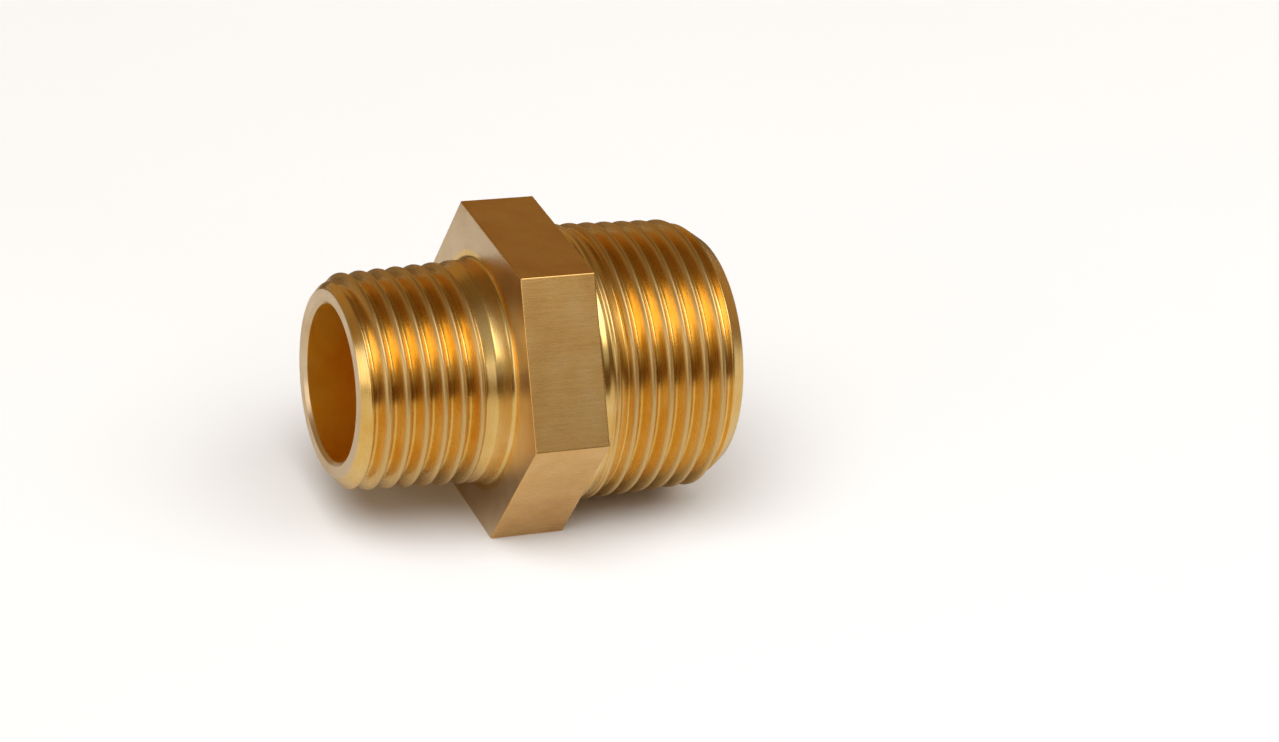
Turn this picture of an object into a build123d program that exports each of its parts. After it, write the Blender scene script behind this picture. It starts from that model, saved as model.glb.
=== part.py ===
"""Reducing hex nipple, R 3/4 x R 1/2, turned in one piece from 28 mm brass hexagon bar.

The bore runs along X with the R 1/2 end at -X. Two hex flats lie level, so the part
rests on one of them. The origin is on the bore axis, midway between the end faces.
All sizes are in millimetres, +Z is up.
"""

from build123d import *
from math import atan, degrees, radians, sin, tan
import os

# Thread form of both ends: 55 degree Whitworth profile, 14 turns per inch,
# on a cone of 1 in 16, which is 1 in 32 on the radius
pitch = 25.4 / 14
flank_angle = 27.5
thread_depth = 0.6403 * pitch
root_radius = 0.1373 * pitch
crest_land = pitch / 6
radius_taper = 1 / 32

# R 1/2 end: thread diameter at its gauge plane, and the sizes of the turned end
small_gauge_diameter = 20.955
small_gauge_length = 8.2
small_side_length = 14.7
small_face_radius = 8.89
small_chamfer_length = 1.35
small_thread_length = 10.9
small_runout_length = 2.0
small_thread_start_angle = 49.6

# R 3/4 end: the same sizes
large_gauge_diameter = 26.441
large_gauge_length = 9.5
large_side_length = 15.5
large_face_radius = 11.3
large_chamfer_length = 2.4
large_thread_length = 11.2
large_runout_length = 3.4
large_thread_start_angle = -19.8

# Hexagon, and the fillet where each plain neck meets it
across_flats = 28.0
hex_thickness = 7.4
neck_fillet = 0.4

# Stepped bore, drilled from both ends, with a drill point cone between
small_bore_radius = 7.5
large_bore_radius = 10.0
large_bore_depth = 18.0
drill_point_angle = 59.0
small_mouth_chamfer = 0.35
large_mouth_chamfer = 0.5

# Positions along X
overall_length = small_side_length + hex_thickness + large_side_length
small_end = -overall_length / 2
large_end = overall_length / 2
hex_left = small_end + small_side_length
hex_right = large_end - large_side_length


def thread_cutter(end_x, inward, crest_radius, thread_length, runout_length):
    """Helical cutter of one thread, from outside its end face to where it fades out.

    inward is +1 when the thread runs towards +X and -1 when it runs towards -X.
    The root of the groove rises to the crests over the runout, as a die leaves it.
    """
    slope = tan(radians(flank_angle))
    lead_in = 0.4
    overcut = 0.2
    mouth_half = (pitch - crest_land) / 2
    top_half = mouth_half + overcut * slope
    arc_depth = thread_depth - root_radius * (1 - sin(radians(flank_angle)))
    arc_half = mouth_half - arc_depth * slope

    # Line that the root follows over the runout, carried on past both of its ends
    before = pitch / 2
    after = 1.5 * pitch
    fade_rise = thread_depth / runout_length + radius_taper
    full_root_radius = crest_radius + thread_length * radius_taper - thread_depth
    core_start_x = end_x + inward * (thread_length - before)
    core_end_x = end_x + inward * (thread_length + runout_length + after)
    core_start_radius = full_root_radius - fade_rise * before
    core_end_radius = full_root_radius + fade_rise * (runout_length + after)

    with BuildPart() as cutter:
        with BuildLine() as path:
            Helix(
                pitch,
                lead_in + thread_length + runout_length + pitch / 2,
                crest_radius - lead_in * radius_taper,
                center=(end_x - inward * lead_in, 0, 0),
                direction=(inward, 0, 0),
                cone_angle=degrees(atan(radius_taper)),
            )
        start = path.line @ 0
        outward = Vector(0, start.Y, start.Z)
        with BuildSketch(Plane(origin=start, x_dir=outward, z_dir=path.line % 0)):
            with BuildLine():
                Polyline(
                    (-arc_depth, arc_half),
                    (overcut, top_half),
                    (overcut, -top_half),
                    (-arc_depth, -arc_half),
                )
                ThreePointArc((-arc_depth, -arc_half), (-thread_depth, 0), (-arc_depth, arc_half))
            make_face()
        sweep(path=path.line, is_frenet=True)

        with BuildSketch(Plane.XZ):
            Polygon(
                (core_start_x, 0),
                (core_start_x, core_start_radius),
                (core_end_x, core_end_radius),
                (core_end_x, 0),
                align=None,
            )
        revolve(axis=Axis.X, mode=Mode.SUBTRACT)
    return cutter.part


def threaded_end(end_x, inward, gauge_diameter, gauge_length, face_radius, chamfer_length,
                 thread_length, runout_length, side_length):
    """One turned end with its taper thread, carried on to the middle of the hexagon.

    The neck goes on from the crests at the place where the thread has faded out.
    """
    crest_radius = gauge_diameter / 2 - gauge_length * radius_taper
    neck_start = thread_length + runout_length
    neck_radius = crest_radius + neck_start * radius_taper
    inner_x = end_x + inward * (side_length + hex_thickness / 2)

    with BuildPart() as turned:
        with BuildSketch(Plane.XZ):
            Polygon(
                (end_x, 0),
                (end_x, face_radius),
                (end_x + inward * chamfer_length, crest_radius + chamfer_length * radius_taper),
                (end_x + inward * neck_start, neck_radius),
                (inner_x, neck_radius),
                (inner_x, 0),
                align=None,
            )
        revolve(axis=Axis.X)
        add(
            thread_cutter(end_x, inward, crest_radius, thread_length, runout_length),
            mode=Mode.SUBTRACT,
        )
    return turned.part


small_threaded_end = threaded_end(
    small_end,
    1,
    small_gauge_diameter,
    small_gauge_length,
    small_face_radius,
    small_chamfer_length,
    small_thread_length,
    small_runout_length,
    small_side_length,
)
large_threaded_end = threaded_end(
    large_end,
    -1,
    large_gauge_diameter,
    large_gauge_length,
    large_face_radius,
    large_chamfer_length,
    large_thread_length,
    large_runout_length,
    large_side_length,
)

with BuildPart() as nipple_body:
    # Hexagon between the two threaded ends
    with BuildSketch(Plane.YZ.offset(hex_left)):
        RegularPolygon(across_flats / 2, 6, major_radius=False)
    extrude(amount=hex_thickness)
    add(small_threaded_end, rotation=(small_thread_start_angle, 0, 0))
    add(large_threaded_end, rotation=(large_thread_start_angle, 0, 0))

    # Fillet where each neck meets the hexagon's face
    neck_corners = nipple_body.edges().filter_by(GeomType.CIRCLE).filter_by_position(
        Axis.X, hex_left, hex_right
    )
    fillet(neck_corners, neck_fillet)

    # Stepped bore with a chamfer at each mouth
    bore_step = large_end - large_bore_depth
    step_cone_length = (large_bore_radius - small_bore_radius) / tan(radians(drill_point_angle))
    with BuildSketch(Plane.XZ):
        Polygon(
            (small_end, 0),
            (small_end, small_bore_radius + small_mouth_chamfer),
            (small_end + small_mouth_chamfer, small_bore_radius),
            (bore_step - step_cone_length, small_bore_radius),
            (bore_step, large_bore_radius),
            (large_end - large_mouth_chamfer, large_bore_radius),
            (large_end, large_bore_radius + large_mouth_chamfer),
            (large_end, 0),
            align=None,
        )
    revolve(axis=Axis.X, mode=Mode.SUBTRACT)

nipple_body.part.label = "nipple_body"

os.makedirs("parts", exist_ok=True)
export_step(nipple_body.part, "parts/nipple_body.step")
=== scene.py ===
"""Looks of the reducing hex nipple: brass mesh, finishes, floor, light and camera."""

import math

import bmesh
import bpy
import numpy as np
from mathutils import Matrix, Vector


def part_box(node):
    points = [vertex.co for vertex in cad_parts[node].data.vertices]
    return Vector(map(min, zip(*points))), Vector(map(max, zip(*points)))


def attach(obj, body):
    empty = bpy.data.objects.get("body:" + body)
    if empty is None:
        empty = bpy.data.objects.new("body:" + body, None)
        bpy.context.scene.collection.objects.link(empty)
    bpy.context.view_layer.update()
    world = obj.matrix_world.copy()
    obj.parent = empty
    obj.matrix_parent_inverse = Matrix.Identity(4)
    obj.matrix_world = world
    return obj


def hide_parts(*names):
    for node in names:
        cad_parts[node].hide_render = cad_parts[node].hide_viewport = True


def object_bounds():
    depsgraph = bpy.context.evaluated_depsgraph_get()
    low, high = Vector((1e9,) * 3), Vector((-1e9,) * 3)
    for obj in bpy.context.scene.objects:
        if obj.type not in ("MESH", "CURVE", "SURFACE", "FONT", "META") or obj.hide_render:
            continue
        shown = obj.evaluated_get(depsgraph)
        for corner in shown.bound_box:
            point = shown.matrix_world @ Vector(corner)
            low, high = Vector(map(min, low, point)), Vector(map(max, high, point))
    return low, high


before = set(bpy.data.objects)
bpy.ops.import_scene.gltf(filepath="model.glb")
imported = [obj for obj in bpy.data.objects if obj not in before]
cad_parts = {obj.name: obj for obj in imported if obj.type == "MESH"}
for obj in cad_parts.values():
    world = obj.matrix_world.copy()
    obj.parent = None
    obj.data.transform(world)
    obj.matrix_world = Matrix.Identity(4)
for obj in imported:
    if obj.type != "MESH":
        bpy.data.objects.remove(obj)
cad_low, cad_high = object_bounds()

MM = 0.001
box_low, box_high = (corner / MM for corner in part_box("nipple_body"))

# Positions along the bore axis, in millimetres
small_end = box_low.x
large_end = box_high.x
small_side_length = 14.7
large_side_length = 15.5
hex_left = small_end + small_side_length
hex_right = large_end - large_side_length
half_across_flats = box_high.z

# Bore
small_bore_radius = 7.5
large_bore_radius = 10.0
large_bore_depth = 18.0
bore_step = large_end - large_bore_depth
bore_step_cone = 1.5
small_mouth_chamfer = 0.35
large_mouth_chamfer = 0.5

# Thread form: 55 degree Whitworth profile, 14 turns per inch, 1 in 32 on the radius
pitch = 25.4 / 14
flank_angle = math.radians(27.5)
thread_depth = 0.6403 * pitch
rounding = 0.1373 * pitch
rounding_half = rounding * math.cos(flank_angle)
radius_taper = 1 / 32
groove_lead_in = 0.4
blend_width = 0.03

# Fillet at each neck, and edge breaks that are too small for the CAD model to carry
neck_fillet = 0.4
edge_break = 0.12
bore_edge_break = 0.06
hex_corner_radius = 0.12

# Rings of each rounded edge: an arc with a support ring beyond both of its ends
arc_steps = 4
support = 0.03
rings_per_edge = arc_steps + 3

THREADED, FACED, DRAWN, DRILLED = range(4)


class ThreadedEnd:
    """Sizes of one threaded end; s is the distance from its end face."""

    def __init__(
        self, end_x, inward, crest_radius, face_radius, chamfer, full_length, runout, groove_angle
    ):
        self.end_x = end_x
        self.inward = inward
        self.crest_radius = crest_radius
        self.face_radius = face_radius
        self.chamfer = chamfer
        self.full_length = full_length
        self.runout = runout
        self.groove_x = end_x - inward * groove_lead_in
        self.groove_angle = groove_angle
        self.neck_radius = crest_radius + (full_length + runout) * radius_taper

    def chamfer_radius(self, s):
        """Radius of the lead chamfer's cone."""
        rise = (self.crest_radius + self.chamfer * radius_taper - self.face_radius) / self.chamfer
        return self.face_radius + s * rise


# Each crest radius is taken back from the gauge plane to the end face
small = ThreadedEnd(
    small_end, inward=1, crest_radius=20.955 / 2 - 8.2 * radius_taper, face_radius=8.89,
    chamfer=1.35, full_length=10.9, runout=2.0, groove_angle=49.6,
)
large = ThreadedEnd(
    large_end, inward=-1, crest_radius=26.441 / 2 - 9.5 * radius_taper, face_radius=11.3,
    chamfer=2.4, full_length=11.2, runout=3.4, groove_angle=160.2,
)


# ---------------------------------------------------------------- mesh

def column_angles():
    """Angles round the axis, in degrees from +Z towards -Y, crowded at the hexagon's corners."""
    angles = set(np.arange(0, 360, 2.0))
    for corner in range(30, 360, 60):
        for offset in (0.1, 0.21, 0.5):
            angles.update((corner - offset, corner + offset))
    return np.array(sorted(angles) + [360.0])


ANGLES = column_angles()


def hex_radius(half_flats):
    """Radius of a hexagon with slightly rounded corners, at each column."""
    from_flat = np.abs((ANGLES + 30) % 60 - 30)
    radius = half_flats / np.cos(np.radians(from_flat))
    cos_30 = math.cos(math.radians(30))
    centre = (half_flats - hex_corner_radius) / cos_30
    from_corner = np.radians(30 - from_flat)
    tangent = math.atan2(hex_corner_radius / 2, centre + hex_corner_radius * cos_30)
    inside = np.maximum(hex_corner_radius**2 - (centre * np.sin(from_corner)) ** 2, 0)
    rounded = centre * np.cos(from_corner) + np.sqrt(inside)
    return np.where(from_corner < tangent, rounded, radius)


def soft_max(a, b):
    """Larger of two radii, with the corner between them slightly rounded."""
    return (a + b + np.sqrt((a - b) ** 2 + blend_width**2)) / 2


def soft_min(a, b):
    """Smaller of two radii, with the corner between them slightly rounded."""
    return a + b - soft_max(a, b)


def groove_depth(offset):
    """Depth of the Whitworth groove below the crests, at an axial offset from its middle."""
    offset = np.abs(offset)
    sharp_half_mouth = 5 * pitch / 12
    root = thread_depth - rounding + np.sqrt(np.maximum(rounding**2 - offset**2, 0))
    to_crest = pitch / 2 - offset
    crest = rounding - np.sqrt(np.maximum(rounding**2 - to_crest**2, 0))
    flank = (sharp_half_mouth - offset) / math.tan(flank_angle)
    return np.where(offset < rounding_half, root, np.where(to_crest < rounding_half, crest, flank))


def thread_surface(end, x):
    """Radius, groove depth share and crest wear of a threaded end at x, for each column."""
    above_chamfer = 1e-4
    full_wear_depth, wear_fade = 0.12, 0.30
    s = (x - end.end_x) * end.inward
    crest = end.crest_radius + s * radius_taper
    turn = (ANGLES - end.groove_angle) / 360
    offset = (x - end.groove_x - turn * pitch + pitch / 2) % pitch - pitch / 2
    grooved = crest - groove_depth(offset)
    fade_rise = thread_depth / end.runout + radius_taper
    full_root = end.crest_radius + end.full_length * radius_taper - thread_depth
    core = np.minimum(full_root + fade_rise * (s - end.full_length), crest)
    radius = soft_min(soft_max(grooved, core), end.chamfer_radius(s) + above_chamfer)
    depth = np.clip((crest - radius) / thread_depth, 0, 1)
    on_thread = np.clip((end.full_length + end.runout - s) / (end.runout / 2), 0, 1)
    wear = np.clip(1 + (full_wear_depth - depth) / wear_fade, 0, 1) * on_thread
    return np.minimum(radius, end.neck_radius), depth * (s > end.chamfer), wear


def thread_rows(end, first_s, last_s):
    """Rings that follow the helix, cut off square at both ends of the stretch."""
    root = np.linspace(-rounding_half, rounding_half, 6)
    flank = np.linspace(rounding_half, pitch / 2 - rounding_half, 6)[1:-1]
    crest = pitch / 2 + np.linspace(-rounding_half, rounding_half, 5)
    steps = np.concatenate([root, flank, crest, pitch - flank[::-1]])
    low, high = sorted(end.end_x + end.inward * s for s in (first_s, last_s))
    turn = (ANGLES - end.groove_angle) / 360
    first_turn = math.floor((low - end.groove_x) / pitch) - 1
    last_turn = math.ceil((high - end.groove_x) / pitch) + 1
    rows = []
    for number in range(first_turn, last_turn + 1):
        for step in steps:
            x = np.clip(end.groove_x + (number + turn) * pitch + step, low, high)
            rows.append((x, *thread_surface(end, x)))
    return rows


def rounded_profile(points):
    """Outline through (x, radius, corner rounding) points, with arcs and close support points."""
    outline = []
    for number, (x, radius, corner) in enumerate(points):
        here = Vector((x, radius))
        if corner == 0:
            outline.append(here)
            continue
        back = (Vector(points[number - 1][:2]) - here).normalized()
        ahead = (Vector(points[number + 1][:2]) - here).normalized()
        half_angle = back.angle(ahead) / 2
        reach = corner / math.tan(half_angle)
        centre = here + (back + ahead).normalized() * (corner / math.sin(half_angle))
        start = here + back * reach - centre
        end = here + ahead * reach - centre
        sweep = start.angle(end)
        outline.append(here + back * (reach + support))
        for step in range(arc_steps + 1):
            share = step / arc_steps
            spoke = start * math.sin((1 - share) * sweep) + end * math.sin(share * sweep)
            outline.append(centre + spoke / math.sin(sweep))
        outline.append(here + ahead * (reach + support))
    return outline


def build_rings():
    """All rings of the closed surface, as (x, radius, groove depth share, crest wear, zone)."""
    end_gap = 0.08
    neck_gap = neck_fillet + 0.04
    mouth_margin = 0.05
    rings = []

    def add(x, radius, zone, depth=0.0, wear=0.0):
        values = (x, radius, depth, wear)
        rings.append((*(np.broadcast_to(v, ANGLES.shape).astype(float) for v in values), zone))

    # Large end face, stepped bore and small end face
    outline = rounded_profile([
        (large_end - 1, large.chamfer_radius(1), 0),
        (large_end, large.face_radius, edge_break),
        (large_end, large_bore_radius + large_mouth_chamfer, bore_edge_break),
        (large_end - large_mouth_chamfer, large_bore_radius, bore_edge_break),
        (bore_step, large_bore_radius, bore_edge_break),
        (bore_step - bore_step_cone, small_bore_radius, bore_edge_break),
        (small_end + small_mouth_chamfer, small_bore_radius, bore_edge_break),
        (small_end, small_bore_radius + small_mouth_chamfer, bore_edge_break),
        (small_end, small.face_radius, edge_break),
        (small_end + 1, small.chamfer_radius(1), 0),
    ])[1:-1]
    drilled_from = small_end + small_mouth_chamfer + mouth_margin
    drilled_to = large_end - large_mouth_chamfer - mouth_margin
    for x, radius in outline:
        add(x, radius, DRILLED if drilled_from < x < drilled_to else FACED)

    # Small thread and its neck
    for x, radius, depth, wear in thread_rows(small, end_gap, small_side_length - neck_gap):
        add(x, radius, THREADED, depth, wear)

    # Hexagon between its two neck fillets
    side = [
        (hex_left - 1, small.neck_radius, 0),
        (hex_left, small.neck_radius, neck_fillet),
        (hex_left, half_across_flats, edge_break),
        (hex_right, half_across_flats, edge_break),
        (hex_right, large.neck_radius, neck_fillet),
        (hex_right + 1, large.neck_radius, 0),
    ]
    outline = rounded_profile(side)[1:-1]
    left_fillet, left_edge, right_edge, right_fillet = (
        outline[number * rings_per_edge:(number + 1) * rings_per_edge] for number in range(4)
    )
    for x, radius in left_fillet:
        add(x, radius, THREADED)
    face_shares = (0.1, 0.3, 0.5, 0.7, 0.9)
    inner, outer = left_fillet[-1].y, hex_radius(left_edge[0].y)
    for share in face_shares:
        add(hex_left, inner + share * (outer - inner), FACED)
    for x, radius in left_edge:
        add(x, hex_radius(radius), DRAWN)
    for share in (0.2, 0.4, 0.6, 0.8):
        add(hex_left + share * (hex_right - hex_left), hex_radius(half_across_flats), DRAWN)
    for x, radius in right_edge:
        add(x, hex_radius(radius), DRAWN)
    inner, outer = right_fillet[0].y, hex_radius(right_edge[-1].y)
    for share in reversed(face_shares):
        add(hex_right, inner + share * (outer - inner), FACED)
    for x, radius in right_fillet:
        add(x, radius, THREADED)

    # Large thread, back to the large end face
    for x, radius, depth, wear in thread_rows(large, large_side_length - neck_gap, end_gap):
        add(x, radius, THREADED, depth, wear)
    return rings


def build_body(materials):
    """The whole fitting as one closed mesh, in the row frame."""
    merge_distance = 0.0005
    rings = build_rings()
    sine, cosine = np.sin(np.radians(ANGLES)), np.cos(np.radians(ANGLES))
    points = np.concatenate([
        np.column_stack([x, -radius * sine, radius * cosine]) for x, radius, *_ in rings
    ]) * MM
    columns = len(ANGLES)
    faces, zones = [], []
    for ring in range(len(rings)):
        following = (ring + 1) % len(rings)
        for column in range(columns - 1):
            a, b = ring * columns + column, following * columns + column
            faces.append((a, a + 1, b + 1, b))
            zones.append(rings[ring][-1])
    mesh = bpy.data.meshes.new("nipple_surface")
    mesh.from_pydata(points.tolist(), [], faces)
    mesh.polygons.foreach_set("material_index", zones)
    for name, place in (("groove", 2), ("crest", 3)):
        share = np.concatenate([ring[place] for ring in rings]).astype(np.float32)
        mesh.attributes.new(name, "FLOAT", "POINT").data.foreach_set("value", share)

    edit = bmesh.new()
    edit.from_mesh(mesh)
    bmesh.ops.remove_doubles(edit, verts=edit.verts, dist=merge_distance * MM)
    bmesh.ops.recalc_face_normals(edit, faces=edit.faces)
    edit.to_mesh(mesh)
    edit.free()
    mesh.shade_smooth()
    for material in materials:
        mesh.materials.append(material)
    body = bpy.data.objects.new("nipple_brass", mesh)
    bpy.context.scene.collection.objects.link(body)
    return body


# ----------------------------------------------------------- materials

class Nodes:
    """Short way to add shader nodes and join them up."""

    def __init__(self, tree):
        self.tree = tree
        tree.nodes.clear()

    def add(self, kind, inputs=None, **settings):
        made = self.tree.nodes.new(kind)
        for name, value in settings.items():
            setattr(made, name, value)
        for name, value in (inputs or {}).items():
            if isinstance(value, bpy.types.NodeSocket):
                self.tree.links.new(value, made.inputs[name])
            else:
                made.inputs[name].default_value = value
        return made

    def math(self, operation, first, second=0.0):
        made = self.add("ShaderNodeMath", {0: first, 1: second}, operation=operation)
        return made.outputs[0]

    def scaled(self, vector, scale):
        made = self.add("ShaderNodeVectorMath", {0: vector, 1: scale}, operation="MULTIPLY")
        return made.outputs[0]

    def noise(self, vector, scale, detail=3.0, roughness=0.55):
        made = self.add(
            "ShaderNodeTexNoise",
            {"Vector": vector, "Scale": scale, "Detail": detail, "Roughness": roughness},
        )
        return made.outputs["Fac"]

    def bump(self, height, distance, **inputs):
        wanted = {"Strength": 1.0, "Distance": distance * MM, "Height": height, **inputs}
        return self.add("ShaderNodeBump", wanted).outputs[0]

    def ramp(self, factor, stops):
        made = self.add("ShaderNodeValToRGB", {"Fac": factor})
        elements = made.color_ramp.elements
        while len(elements) < len(stops):
            elements.new(0.5)
        for element, (position, colour) in zip(elements, stops):
            element.position = position
            element.color = (*colour, 1.0)
        return made.outputs["Color"]

    def spread(self, factor, low, high, from_low=0.3, from_high=0.7):
        limits = {"From Min": from_low, "From Max": from_high, "To Min": low, "To Max": high}
        made = self.add("ShaderNodeMapRange", {"Value": factor, **limits})
        return made.outputs["Result"]

    def mix(self, factor, first, second):
        made = self.add("ShaderNodeMix", {"Factor": factor}, data_type="RGBA")
        for socket, value in (("A_Color", first), ("B_Color", second)):
            target = next(s for s in made.inputs if s.identifier == socket)
            if isinstance(value, bpy.types.NodeSocket):
                self.tree.links.new(value, target)
            else:
                target.default_value = (*value, 1.0)
        return next(s for s in made.outputs if s.identifier == "Result_Color")


# Each surface's tints, from its darkest patches to its palest
CUT_TINTS = ((0.85, 0.51, 0.12), (0.90, 0.59, 0.19), (0.93, 0.66, 0.28))
FACED_TINTS = ((0.71, 0.50, 0.27), (0.79, 0.59, 0.35), (0.83, 0.66, 0.43))
DRAWN_TINTS = ((0.73, 0.40, 0.12), (0.80, 0.47, 0.15), (0.84, 0.53, 0.20))
# The bore's drilled brass: partly its own colour, partly painted light, its tints raised brighter
# and more orange to stand in for light inside the bore
DRILLED_TINTS_WITH_BORE_LIGHT = ((0.94, 0.49, 0.02), (0.98, 0.58, 0.04), (0.99, 0.63, 0.07))
CREST_TINT = (0.76, 0.51, 0.20)
# Painted shade: darker, more orange colour for the thread roots
ROOT_SHADE_TINT = (0.77, 0.45, 0.07)


def brass(name, tints, line_vector, line_height, roughness, film, anisotropic=0.0):
    """Machined brass under an oil film: tint patches, tool lines, worn crests, and painted shade in
    the thread roots.
    """
    material = bpy.data.materials.new(name)
    material.use_nodes = True
    nodes = Nodes(material.node_tree)
    place = nodes.add("ShaderNodeTexCoord").outputs["Object"]
    lines = nodes.noise(line_vector(nodes, place), 1.0, detail=4.0, roughness=0.65)
    patches = nodes.noise(place, 260.0, detail=4.0)
    specks = nodes.noise(place, 2600.0, detail=2.0)

    tint = nodes.ramp(patches, list(zip((0.30, 0.50, 0.70), tints)))
    groove = nodes.add("ShaderNodeAttribute", attribute_name="groove").outputs["Fac"]
    crest = nodes.add("ShaderNodeAttribute", attribute_name="crest").outputs["Fac"]
    # Painted shade: the deeper the groove, the more of the darker root colour, in speckled strength
    root = nodes.math("MULTIPLY", nodes.math("POWER", groove, 2.0), nodes.spread(specks, 0.35, 0.8))
    colour = nodes.mix(crest, nodes.mix(root, tint, ROOT_SHADE_TINT), CREST_TINT)
    streaked = nodes.mix(nodes.spread(lines, 0.0, 0.4, 0.55, 0.75), colour, tints[0])

    rough = nodes.math("ADD", nodes.spread(lines, *roughness), nodes.math("MULTIPLY", crest, 0.16))
    scored = nodes.bump(lines, line_height)
    pitted = nodes.bump(specks, 0.001, Normal=scored)
    around = nodes.add("ShaderNodeTangent", direction_type="RADIAL", axis="X")
    shader = nodes.add(
        "ShaderNodeBsdfPrincipled",
        {
            "Base Color": streaked,
            "Metallic": 1.0,
            "Roughness": rough,
            "Anisotropic": anisotropic,
            "Anisotropic Rotation": 0.25,
            "Coat Weight": film,
            "Coat Roughness": 0.22,
            "Normal": pitted,
            "Tangent": around.outputs[0],
        },
    )
    nodes.add("ShaderNodeOutputMaterial", {"Surface": shader.outputs[0]})
    return material


def ring_lines(spacing):
    """Tool lines that run round the axis, on cylinders, cones and turned faces alike."""
    def vector(nodes, place):
        across = nodes.scaled(place, (0.0, 1.0, 1.0))
        radius = nodes.add("ShaderNodeVectorMath", {0: across}, operation="LENGTH").outputs["Value"]
        spoke = nodes.add("ShaderNodeVectorMath", {0: across}, operation="NORMALIZE").outputs[0]
        axial = nodes.add("ShaderNodeSeparateXYZ", {0: place}).outputs["X"]
        along = nodes.math("MULTIPLY", nodes.math("ADD", axial, radius), 1 / (spacing * MM))
        line = nodes.add("ShaderNodeCombineXYZ", {"X": along}).outputs[0]
        variation = nodes.scaled(spoke, (1.6, 1.6, 1.6))
        made = nodes.add("ShaderNodeVectorMath", {0: line, 1: variation}, operation="ADD")
        return made.outputs[0]
    return vector


def bar_lines(spacing):
    """Drawing lines that run along the bar."""
    def vector(nodes, place):
        across = 1 / (spacing * MM)
        along = across / 50
        return nodes.scaled(place, (along, across, across))
    return vector


# ------------------------------------------------------------- studio

def sheet(name, outline, height, tone, roughness):
    """Flat sheet above the floor's level, sizes in millimetres; tone gives its colour."""
    mesh = bpy.data.meshes.new(name)
    level = cad_low.z + height * MM
    mesh.from_pydata([(x * MM, y * MM, level) for x, y in outline], [], [range(len(outline))])
    material = bpy.data.materials.new(name)
    material.use_nodes = True
    nodes = Nodes(material.node_tree)
    inputs = {"Base Color": tone(nodes), "Roughness": roughness}
    shader = nodes.add("ShaderNodeBsdfPrincipled", inputs)
    nodes.add("ShaderNodeOutputMaterial", {"Surface": shader.outputs[0]})
    mesh.materials.append(material)
    made = bpy.data.objects.new(name, mesh)
    bpy.context.scene.collection.objects.link(made)
    return made


def square(half):
    """Outline of a square about the origin."""
    return [(-half, -half), (half, -half), (half, half), (-half, half)]


def pale_tone(nodes):
    """Nearly even pale grey."""
    place = nodes.add("ShaderNodeTexCoord").outputs["Object"]
    stops = [(0.3, (0.86, 0.86, 0.86)), (0.7, (0.88, 0.88, 0.88))]
    return nodes.ramp(nodes.noise(place, 6.0), stops)


def card(name, height, outline, colour):
    """Card laid on the floor for the brass to mirror, out of the camera's sight: a sheet that only
    reflections see, which paints darker reflections of the floor.
    """
    made = sheet(name, outline, height, lambda nodes: (*colour, 1.0), 0.8)
    made.visible_camera = False
    made.visible_diffuse = False
    made.visible_shadow = False


def direction(azimuth, elevation):
    """Unit vector from the part; azimuth 0 is -Y, the viewer's side, and 90 is +X."""
    a, e = math.radians(azimuth), math.radians(elevation)
    return Vector((math.sin(a) * math.cos(e), -math.cos(a) * math.cos(e), math.sin(e)))


def hang(light, back, distance):
    """Lamp for a light, at a distance from the part along back and facing it."""
    lamp = bpy.data.objects.new(light.name, light)
    lamp.location = back * distance
    lamp.rotation_mode = "QUATERNION"
    lamp.rotation_quaternion = (-back).to_track_quat("-Z", "Y")
    bpy.context.scene.collection.objects.link(lamp)
    return lamp


def softbox(name, azimuth, elevation, distance, width, height, power):
    """Soft rectangular light that faces the part."""
    light = bpy.data.lights.new(name, "AREA")
    light.shape = "RECTANGLE"
    light.size = width
    light.size_y = height
    light.energy = power
    hang(light, direction(azimuth, elevation), distance)


def overhead_light(azimuth, elevation, spread, strength):
    """Broad light from above that lights the floor evenly and isn't mirrored in the brass."""
    light = bpy.data.lights.new("overhead_light", "SUN")
    light.energy = strength
    light.angle = math.radians(spread)
    light.color = (0.96, 0.98, 1.0)
    lamp = hang(light, direction(azimuth, elevation), 0.0)
    lamp.visible_glossy = False


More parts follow.
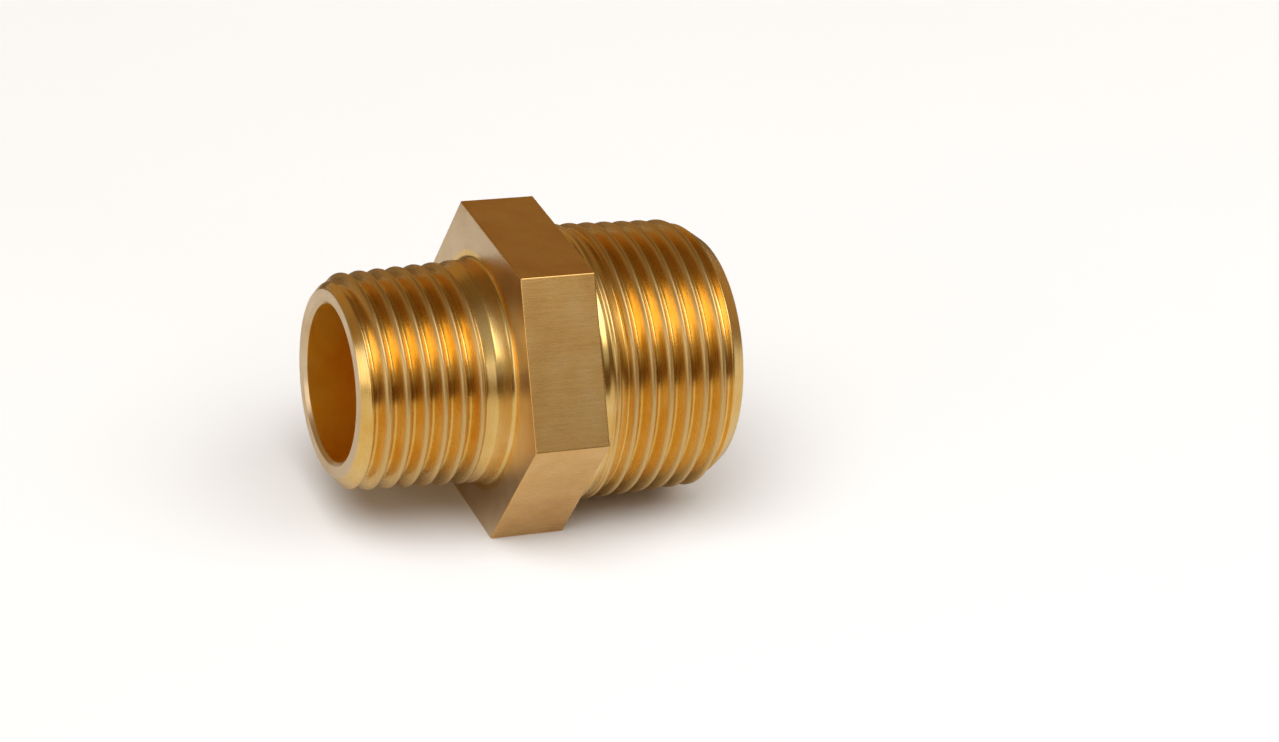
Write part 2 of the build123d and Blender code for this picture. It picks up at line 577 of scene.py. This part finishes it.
def studio_world():
    """Soft room light: grey walls with a dark strip above the horizon, dim and warm behind."""
    world = bpy.data.worlds.new("studio")
    world.use_nodes = True
    bpy.context.scene.world = world
    nodes = Nodes(world.node_tree)
    way = nodes.add("ShaderNodeTexCoord").outputs["Generated"]
    split = nodes.add("ShaderNodeSeparateXYZ", {0: way})
    height = nodes.spread(split.outputs["Z"], 0.0, 1.0, -1.0, 1.0)
    grey, umber, warm = (1.0, 0.98, 0.94), (1.0, 0.48, 0.10), (1.0, 0.63, 0.25)

    # Height as the sine of the elevation, brightness and hue
    front = [
        (0.0, 0.5, grey),
        (0.03, 0.09, umber),
        (0.35, 0.09, umber),
        (0.41, 0.36, grey),
        (1.0, 0.4, grey),
    ]
    back = [
        (0.0, 0.2, warm),
        (0.08, 0.36, warm),
        (0.45, 0.34, warm),
        (0.62, 0.14, warm),
        (1.0, 0.14, warm),
    ]

    def walls(levels):
        stops = []
        for sine, level, hue in levels:
            stops.append(((sine + 1) / 2, tuple(level * part for part in hue)))
        return nodes.ramp(height, stops)

    towards_back = nodes.spread(split.outputs["Y"], 0.0, 1.0, -0.25, 0.25)
    room = nodes.mix(towards_back, walls(front), walls(back))
    light = nodes.add("ShaderNodeBackground", {"Color": room, "Strength": 1.0})
    nodes.add("ShaderNodeOutputWorld", {"Surface": light.outputs[0]})


def photo_camera():
    """Long lens from the small end's side, looking down, slightly tilted."""
    azimuth, elevation, tilt = -26.15, 28.13, 7.7
    aim = Vector((10.85, -4.7, 1.0)) * MM
    distance = 338.2 * MM
    camera = bpy.data.cameras.new("camera")
    camera.sensor_width = 36.0
    camera.lens = 99.4
    camera.clip_start = 0.01
    camera.clip_end = 10.0
    holder = bpy.data.objects.new("camera", camera)
    back = direction(azimuth, elevation)
    look = (-back).to_track_quat("-Z", "Y").to_matrix()
    turn = Matrix.Rotation(math.radians(tilt), 3, "Z")
    holder.matrix_world = Matrix.Translation(aim + back * distance) @ (look @ turn).to_4x4()
    bpy.context.scene.collection.objects.link(holder)
    bpy.context.scene.camera = holder


body = build_body([
    brass(
        "cut_brass", CUT_TINTS, ring_lines(0.11),
        line_height=0.003, roughness=(0.19, 0.31), film=0.10, anisotropic=0.5,
    ),
    brass(
        "faced_brass", FACED_TINTS, ring_lines(0.10),
        line_height=0.003, roughness=(0.28, 0.40), film=0.16, anisotropic=0.3,
    ),
    brass(
        "drawn_brass", DRAWN_TINTS, bar_lines(0.09),
        line_height=0.0015, roughness=(0.24, 0.33), film=0.22,
    ),
    # Painted light: the bore's brass is tinted brighter and more orange than the outside
    brass(
        "drilled_brass_with_bore_light", DRILLED_TINTS_WITH_BORE_LIGHT, ring_lines(0.2),
        line_height=0.006, roughness=(0.42, 0.56), film=0.10,
    ),
])
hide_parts("nipple_body")
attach(body, "root")

dark_outline = [(-6, 24), (400, 24), (400, 500), (-250, 500), (-250, 70), (-6, 70)]
sheet("floor", square(2000), 0.0, pale_tone, 0.7)
# Painted reflections: a grey card under the part and a dark card behind it, seen only in the brass,
# darken its reflections of the pale floor
card("grey_reflection_card", 0.1, square(900), (0.60, 0.59, 0.57))
card("dark_reflection_card", 0.5, dark_outline, (0.12, 0.08, 0.04))
studio_world()
softbox("key_light", 39.6, 57, distance=0.6, width=0.6, height=0.38, power=1.45)
softbox("left_light", -70, 17, distance=0.6, width=0.5, height=0.24, power=0.53)
overhead_light(-50, 62, spread=50, strength=2.3)
photo_camera()
bpy.context.scene.view_settings.view_transform = "Standard"
